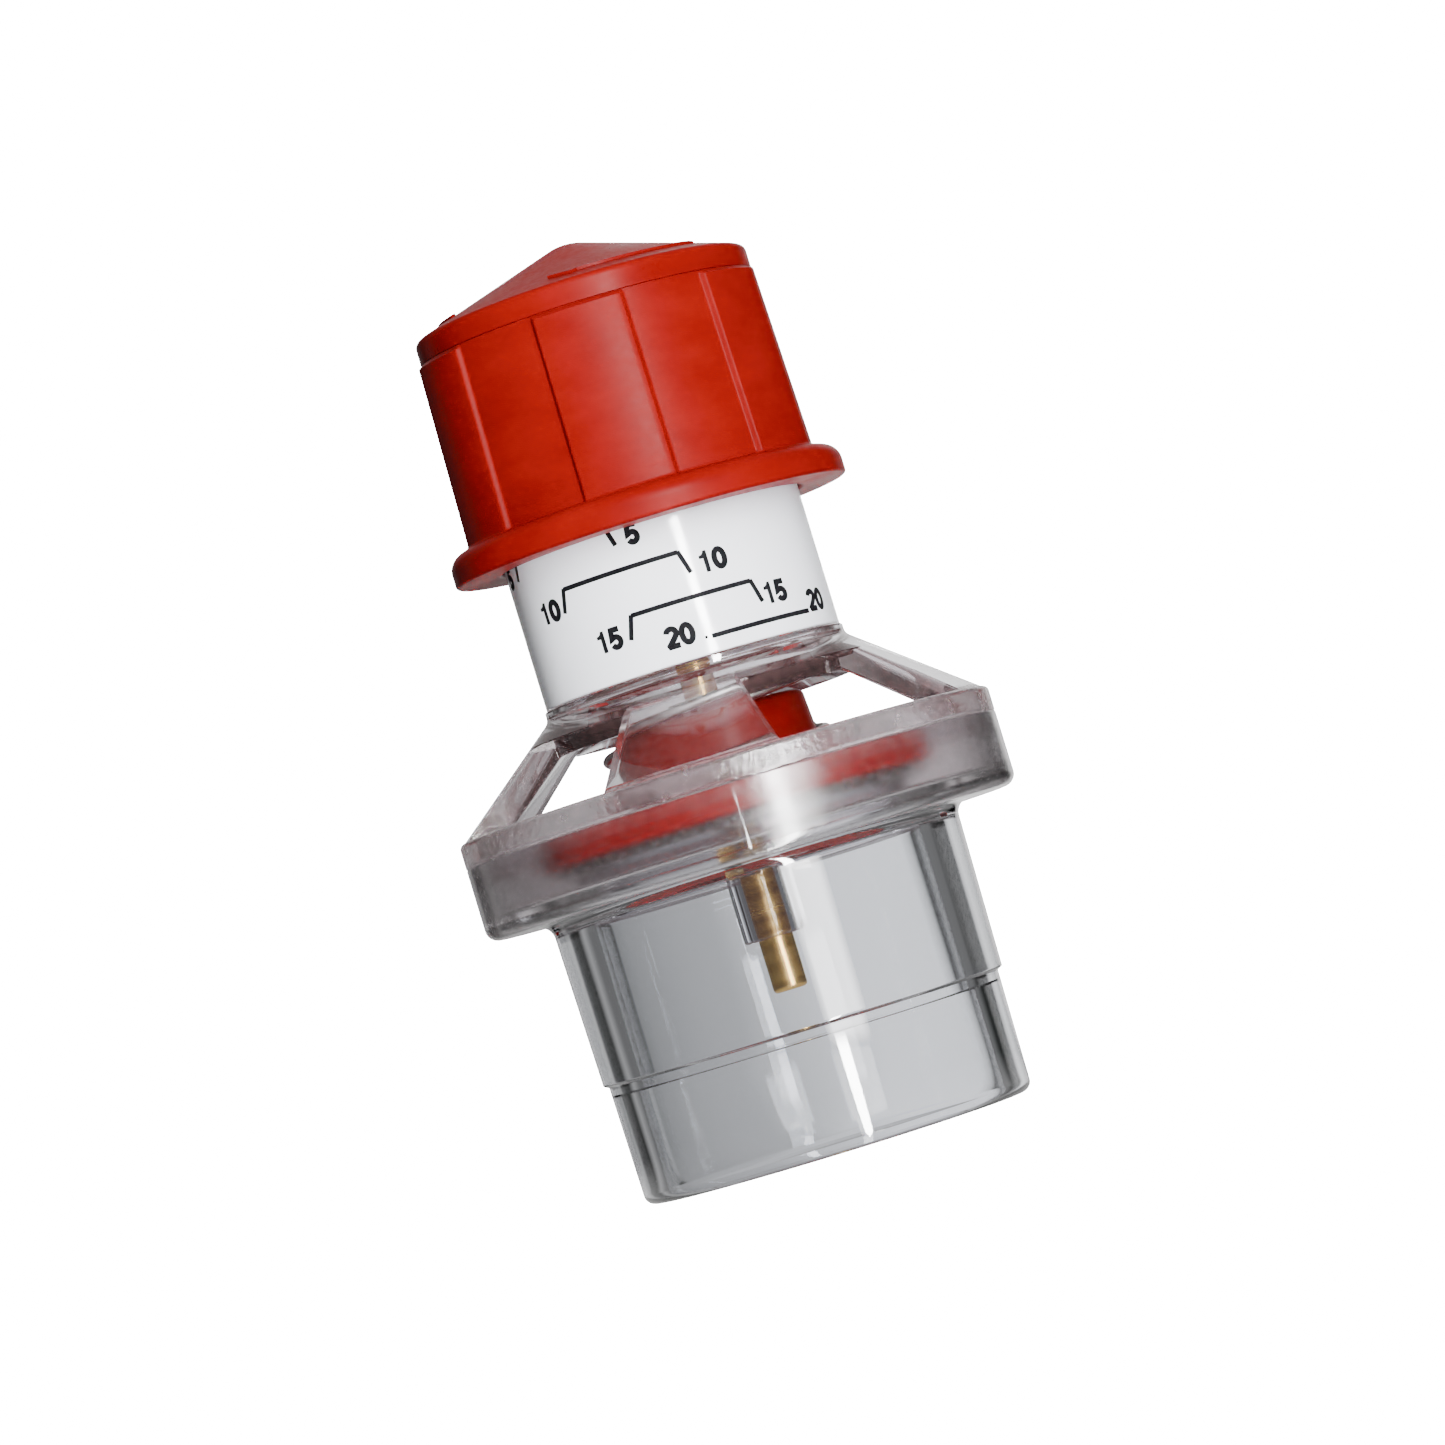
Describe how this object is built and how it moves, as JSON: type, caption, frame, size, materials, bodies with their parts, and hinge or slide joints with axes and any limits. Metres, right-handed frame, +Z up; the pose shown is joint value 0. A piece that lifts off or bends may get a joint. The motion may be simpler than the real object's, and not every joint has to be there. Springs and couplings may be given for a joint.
{
  "type": "adjustable peep valve",
  "caption": "Spring-loaded exhalation valve for a breathing circuit: a screw cap over a printed pressure scale sets the spring, above a clear vented housing with a female inlet.",
  "frame": {"origin": "centre of the inlet mouth, on the plane of its rim", "axes": "+Z runs up the valve's axis from the inlet to the cap; +X and +Y each run through the middle of a vent window, with the ribs between them"},
  "size_m": [0.0472, 0.0472, 0.0808],
  "materials": {
    "clear_body": "clear polycarbonate, polished barrel, fine frosted flange",
    "clear_cage": "clear polycarbonate, polished cone and ribs, frosted flange edge",
    "silicone": "translucent white silicone",
    "white_sleeve": "glossy white printed sleeve",
    "black_rubber": "matt black nitrile rubber",
    "red_cap": "red moulded plastic, satin grip",
    "red_cover": "red moulded plastic, glossy",
    "acetal": "natural white acetal",
    "spring_steel": "drawn stainless spring wire",
    "red_disc": "red moulded plastic",
    "brass": "turned brass"
  },
  "bodies": {
    "housing": {"inlet_body": "clear_body", "cage_body": "clear_cage", "body_gasket": "silicone", "scale_sleeve": "white_sleeve", "neck_oring": "black_rubber"},
    "valve": {"valve_disc": "red_disc", "valve_seal": "silicone", "guide_pin": "brass", "pin_clip": "spring_steel"},
    "carriage": {"thrust_washer": "acetal", "spring": "spring_steel"},
    "cap": {"cap_shell": "red_cap", "cap_cover": "red_cover", "screw_tube": "red_cap"}
  },
  "joints": [
    {"name": "valve_lift", "type": "slide", "parent": "housing", "child": "valve", "axis": [0, 0, 1], "range_m": [0, 0.0025], "stiffness_N_per_m": 80, "springref_m": -0.0044},
    {"name": "cap_travel", "type": "slide", "parent": "housing", "child": "carriage", "axis": [0, 0, 1], "range_m": [-0.0107, 0.00365], "deforming": ["spring"]},
    {"name": "cap_turn", "type": "hinge", "parent": "carriage", "child": "cap", "pos_m": [0, 0, 0.0546], "axis": [0, 0, 1], "range_deg": [-426, 144]}
  ],
  "couplings": [
    {"joint": "cap_travel", "follows": "cap_turn", "m_per_rad": 0.0014324}
  ]
}
